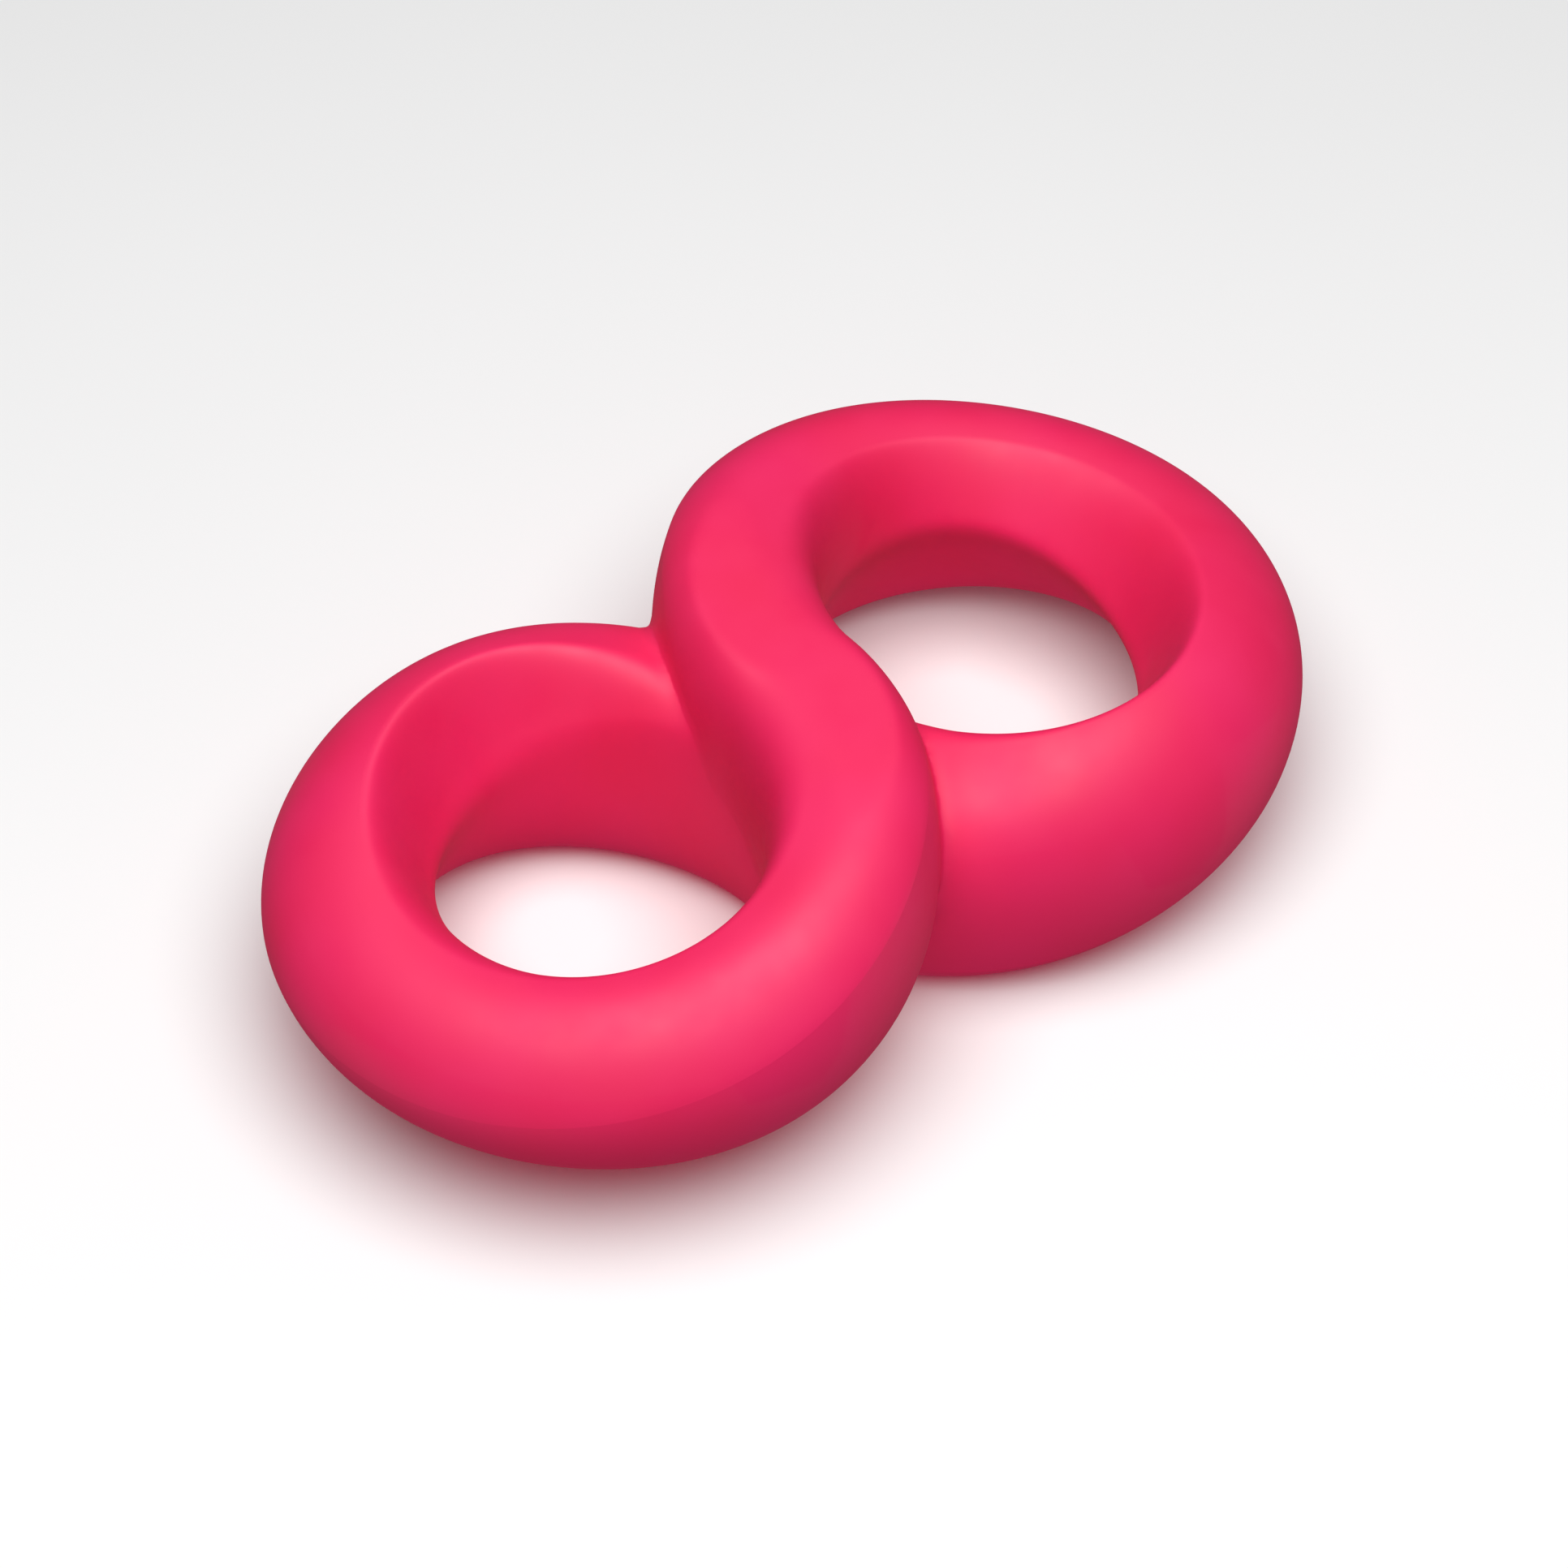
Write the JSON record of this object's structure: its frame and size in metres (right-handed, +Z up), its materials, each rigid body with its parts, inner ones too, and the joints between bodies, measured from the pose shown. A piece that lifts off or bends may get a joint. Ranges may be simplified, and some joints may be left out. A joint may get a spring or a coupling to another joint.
{
  "type": "pull buoy",
  "caption": "Hollow figure-eight swim float in two moulded half shells, with two water chambers and screw fill plugs on the underside.",
  "frame": {"origin": "middle of the flat underside at the crossing, on which the float rests", "axes": "+Z up, +X along the length from one ring to the other, +Y across; the upper strand leaves the crossing towards +X on the +Y side"},
  "size_m": [0.2798, 0.162, 0.0804],
  "materials": {
    "shell": "satin soft-touch moulded plastic",
    "divider": "as moulded",
    "bush": "turned",
    "plug": "satin moulded plastic",
    "seal": "matte rubber"
  },
  "bodies": {
    "float": {"upper_shell": "shell", "lower_shell": "shell", "chamber_divider": "divider", "left_port_bush": "bush", "right_port_bush": "bush"},
    "left_seal": {"left_plug_seal": "seal"},
    "left_plug": {"left_fill_plug": "plug"},
    "right_seal": {"right_plug_seal": "seal"},
    "right_plug": {"right_fill_plug": "plug"}
  },
  "joints": [
    {"name": "left_plug_lift", "type": "slide", "parent": "float", "child": "left_seal", "axis": [0, 0, -1], "range_m": [0, 0.012]},
    {"name": "left_plug_turn", "type": "hinge", "parent": "left_seal", "child": "left_plug", "pos_m": [-0.118, 0, 0.025], "axis": [0, 0, -1], "range_deg": [0, 2160]},
    {"name": "right_plug_lift", "type": "slide", "parent": "float", "child": "right_seal", "axis": [0, 0, -1], "range_m": [0, 0.012]},
    {"name": "right_plug_turn", "type": "hinge", "parent": "right_seal", "child": "right_plug", "pos_m": [0.118, 0, 0.025], "axis": [0, 0, -1], "range_deg": [0, 2160]}
  ],
  "couplings": [
    {"joint": "left_plug_turn", "follows": "left_plug_lift", "rad_per_m": 3141.6},
    {"joint": "right_plug_turn", "follows": "right_plug_lift", "rad_per_m": 3141.6}
  ]
}
